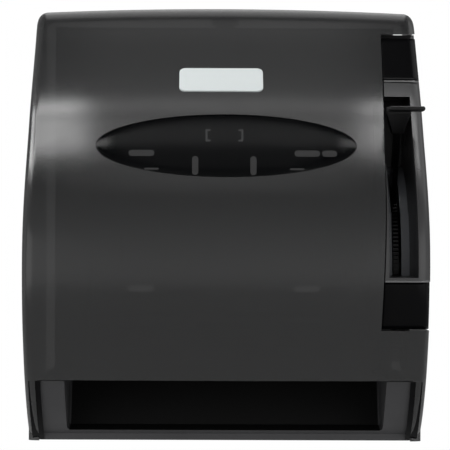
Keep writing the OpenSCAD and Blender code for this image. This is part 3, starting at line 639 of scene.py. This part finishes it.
def build_cover(material):
    cover = cover_form("cover_shell", 0.0)
    carve(cover, cover_form("hollow", WALL, -PAST, -PAST))
    inner, outer, leg_x = HALF_W - WALL, HALF_W + PAST, HALF_W - LEG_W
    for x0, x1 in ((-inner - PAST, -inner + BOSS_L), (inner - BOSS_L, inner + PAST)):
        carve(cover, prism("boss", circle(HINGE_D, HINGE_Z, BOSS_R), "X", x0, x1), "UNION")
    lock_boss = prism("lock_boss", circle(0, LOCK_D, LOCK_BOSS_R), "Z", COVER_H - LOCK_BOSS_L,
                      COVER_H - PAST)
    carve(cover, lock_boss, "UNION")
    mouth = [(-leg_x, -BEYOND), (leg_x, -BEYOND), (leg_x, LIP_Z), (-leg_x, LIP_Z)]
    carve(cover, prism("mouth", mouth, "Y", FRONT_NEAR, FRONT_FAR))
    oval = ellipse(0, WINDOW_Z, WINDOW_A, WINDOW_B)
    carve(cover, prism("oval", oval, "Y", FRONT_NEAR, FRONT_FAR))
    carve(cover, notch_cutter())
    carve(cover, hinge_corner("heel", HINGE_D - HEEL_GAP, HEEL_LOW, HINGE_Z, -outer, outer))
    carve(cover, hinge_corner("notch_heel", NOTCH_Z0 - HINGE_Z - NOTCH_HEEL_GAP, HINGE_Z,
                              NOTCH_Z0 + HAIR, NOTCH_FOOT_X, outer))
    carve(cover, prism("hinge_bore", circle(HINGE_D, HINGE_Z, HINGE_R), "X", -outer, outer))
    carve(cover, prism("lock_bore", circle(0, LOCK_D, LOCK_R), "Z", COVER_H - LOCK_BORE_DOWN,
                       COVER_H + LOCK_BORE_UP))
    carve(cover, badge_block("badge_pocket", FIT, -BADGE_DEPTH, BEYOND))
    finish_edges(cover, COVER_BEVEL)
    ride_as(cover, "cover", "smoke_cover", material, "front_cover")


def badge_block(name, grow, low, high):
    """The badge's rounded outline on the cover's slope, between two distances from its surface."""
    w, h, r = BADGE_W / 2 + grow, BADGE_H / 2 + grow, BADGE_CORNER + grow
    outline = []
    for cx, cz, start in ((w - r, h - r, 0), (r - w, h - r, 90), (r - w, r - h, 180), (w - r, r - h, 270)):
        for k in range(CORNER_STEPS + 1):
            a = math.radians(start + 90 * k / CORNER_STEPS)
            outline.append((cx + r * math.cos(a), cz + r * math.sin(a)))
    fall = front_depth(BADGE_Z - BADGE_REACH) - front_depth(BADGE_Z + BADGE_REACH)
    tilt = math.atan2(2 * BADGE_REACH, fall)
    along = Vector((0, math.cos(tilt), math.sin(tilt)))
    out = Vector((0, -math.sin(tilt), math.cos(tilt)))
    at = Vector((BADGE_X, -front_depth(BADGE_Z), BADGE_Z))
    points = [at + Vector((p[0], 0, 0)) + along * p[1] + out * level
              for level in (low, high) for p in outline]
    return new_piece(name, mesh_of(name, points, drum_faces(len(outline))))


def build_badge(material):
    badge = badge_block("badge_face", 0.0, -BADGE_DEPTH + HAIR, BADGE_PROUD)
    finish_edges(badge, BADGE_BEVEL)
    ride_as(badge, "cover", "badge", material, "badge_plate")


def build_lens(material):
    n = LENS_STEPS
    a, b = WINDOW_A - LENS_GAP, WINDOW_B - LENS_GAP
    points, faces = [], []
    for back in (0.0, LENS_T):
        drop = LENS_EDGE_DROP if back == 0.0 else 0.0
        for i in range(LENS_RINGS, 0, -1):
            r = math.sin(math.pi / 2 * i / LENS_RINGS)
            for k in range(n):
                x = a * r * math.cos(2 * math.pi * k / n)
                z = WINDOW_Z + b * r * math.sin(2 * math.pi * k / n)
                rise = LENS_RISE * (1 - r ** 2) - drop * r ** LENS_EDGE_POWER
                points.append((x, back - surface_at(x, z) - rise, z))
        points.append((0, back - surface_at(0, WINDOW_Z) - LENS_RISE, WINDOW_Z))
    half = LENS_RINGS * n + 1
    for start in (0, half):
        faces += ring_faces(start, LENS_RINGS - 1, n)
        middle = start + half - 1
        last = middle - n
        faces += [(last + k, last + (k + 1) % n, middle) for k in range(n)]
    faces += [(k, (k + 1) % n, half + (k + 1) % n, half + k) for k in range(n)]
    lens = new_piece("lens_face", mesh_of("lens_face", points, faces))
    lens.data.shade_smooth()
    lens.data.set_sharp_from_angle(angle=math.radians(LENS_SHARP_FROM))
    ride_as(lens, "cover", "smoke_lens", material, "window_lens")


# ---- Housing and gaps ----
def notch_edge(z):
    """X of the notch's leaning edge at a height."""
    return NOTCH_FOOT_X + (NOTCH_TOP_X - NOTCH_FOOT_X) * (z - NOTCH_Z0) / (NOTCH_Z1 - NOTCH_Z0)


def column_at(left, right, i, columns):
    """X of a column between two sides, closer together towards the right."""
    return left + (right - left) * math.sin(math.pi / 2 * i / columns)


def recess_face(name, z0, z1, material):
    """Polished black face of a recess, just proud of the housing's moulding, darker and duller than the
    moulding as painted shade of the recess.
    """
    columns, rows = FACE_COLUMNS, FACE_ROWS
    points, faces = [], []
    for j in range(rows + 1):
        z = z0 + (z1 - z0) * j / rows
        left, right = notch_edge(z) + COVER_GAP - FACE_TUCK, HALF_W - FACE_MARGIN
        for i in range(columns + 1):
            x = column_at(left, right, i, columns)
            points.append((x, -(surface_at(x, z) - RECESS + FACE_LIFT), z))
    for j in range(rows):
        for i in range(columns):
            k = j * (columns + 1) + i
            faces.append((k, k + 1, k + columns + 2, k + columns + 1))
    face = new_piece(name, mesh_of(name, points, faces))
    face.data.shade_smooth()
    thick = face.modifiers.new("thick", "SOLIDIFY")
    thick.thickness = FACE_T * MM
    thick.offset = 0.0
    ride_as(face, "chassis", "housing_black", material)


def housing_lip(name, z, height, proud, material):
    """Narrow rib across the housing's face that catches the light on its upper side; its grey, lighter
    than the housing's black, is a painted highlight.
    """
    foot, brow = proud * LIP_FOOT, proud * LIP_BROW
    profile = ((-height / 2, -LIP_ROOT), (-height / 2, foot), (-height / 4, brow), (height / 4, proud),
               (height / 2, foot), (height / 2, -LIP_ROOT))
    left, right = notch_edge(z) + COVER_GAP, HALF_W - LIP_END
    n = len(profile)
    points = []
    for i in range(LIP_COLUMNS + 1):
        x = column_at(left, right, i, LIP_COLUMNS)
        points += [(x, -(surface_at(x, z) + out), z + up) for up, out in profile]
    faces = ring_faces(0, LIP_COLUMNS, n)
    faces += [tuple(range(n)), tuple(range(LIP_COLUMNS * n, (LIP_COLUMNS + 1) * n))]
    rib = new_piece(name, mesh_of(name, points, faces))
    ride_as(rib, "chassis", "housing_black", material)


def build_gap_shade_strips(material):
    """Dark strips of painted shade behind the gaps between the mouth's posts and the cover's legs.

    Near their upper ends they cut into the legs' walls, by up to 1.3 mm.
    """
    heights = [SHADE_STRIP_Z0 + SHADE_STRIP_H * k / SHADE_STRIP_STEPS for k in range(SHADE_STRIP_STEPS + 1)]
    outline = [(front_depth(z) - SHADE_STRIP_FRONT, z) for z in heights]
    outline += [(front_depth(z) - SHADE_STRIP_BACK, z) for z in reversed(heights)]
    inner, outer = HALF_W - LEG_W - SHADE_STRIP_INWARD, HALF_W - WALL - SHADE_STRIP_CLEAR
    # These strips are painted shade where the gaps are dark
    for name, x0, x1 in (("gap_shade_strip_left", -outer, -inner), ("gap_shade_strip_right", inner, outer)):
        ride_as(prism(name, outline, "X", x0, x1), "chassis", "chute_grey", material)


# ---- Stage ----
def add_floor():
    mesh = bpy.data.meshes.new("floor")
    half = FLOOR_SIZE / 2
    corners = [(-half, -half, 0), (half, -half, 0), (half, half, 0), (-half, half, 0)]
    mesh.from_pydata(corners, [], [(0, 1, 2, 3)])
    floor = new_piece("floor", mesh)
    floor.location.z = FLOOR_Z
    material, _, shader = new_material("floor")
    shader.inputs["Base Color"].default_value = (0.9, 0.9, 0.9, 1.0)
    shader.inputs["Roughness"].default_value = 0.9
    floor.data.materials.append(material)


def add_light(name, place, look, size, power, turn):
    """Area lamp turned to a point; without one it faces straight down, turned about Z by some degrees."""
    data = bpy.data.lights.new(name, "AREA")
    data.shape = "RECTANGLE"
    data.size, data.size_y = size
    data.energy = power
    light = bpy.data.objects.new(name, data)
    light.location = place
    if look:
        light.rotation_euler = (Vector(look) - Vector(place)).to_track_quat("-Z", "Y").to_euler()
    else:
        light.rotation_euler.z = math.radians(turn)
    light.visible_camera = False
    bpy.context.scene.collection.objects.link(light)


def add_world():
    """White as the camera sees it; for everything else a studio, darker above and behind the object."""
    world = bpy.data.worlds.new("studio")
    bpy.context.scene.world = world
    world.use_nodes = True
    tree = world.node_tree
    shade = tree.nodes["Background"]
    where = tree.nodes.new("ShaderNodeTexCoord")
    axes = tree.nodes.new("ShaderNodeSeparateXYZ")
    ramp = tree.nodes.new("ShaderNodeValToRGB")
    tree.links.new(where.outputs["Generated"], axes.inputs["Vector"])
    tree.links.new(axes.outputs["Z"], ramp.inputs["Fac"])
    tree.links.new(ramp.outputs["Color"], shade.inputs["Color"])
    behind = map_range(tree, axes.outputs["Y"], SKY_BACK, SKY_BACK_LEVELS)
    tree.links.new(behind, shade.inputs["Strength"])
    for k, (place, level) in enumerate(SKY_STOPS):
        stop = ramp.color_ramp.elements[k] if k < 2 else ramp.color_ramp.elements.new(place)
        stop.position = place
        stop.color = (level, level, level, 1.0)
    white = tree.nodes.new("ShaderNodeBackground")
    white.inputs["Color"].default_value = (1.0, 1.0, 1.0, 1.0)
    white.inputs["Strength"].default_value = 1.0
    path = tree.nodes.new("ShaderNodeLightPath")
    mix = tree.nodes.new("ShaderNodeMixShader")
    tree.links.new(path.outputs["Is Camera Ray"], mix.inputs["Fac"])
    tree.links.new(shade.outputs["Background"], mix.inputs[1])
    tree.links.new(white.outputs["Background"], mix.inputs[2])
    tree.links.new(mix.outputs["Shader"], tree.nodes["World Output"].inputs["Surface"])


bpy.context.scene.view_settings.view_transform = "Standard"
add_camera()
materials = make_materials()
dress_nodes(materials)
build_cover(materials["smoke_cover"])
build_badge(materials["badge"])
build_lens(materials["smoke_lens"])
for recess in RECESS_FACES:
    recess_face(*recess, materials["painted_shade_black"])
for lip in HOUSING_LIPS:
    housing_lip(*lip, materials["lip_highlight_grey"])
build_gap_shade_strips(materials["painted_shade_black"])
add_world()
add_floor()
for lamp in LAMPS:
    add_light(*lamp)
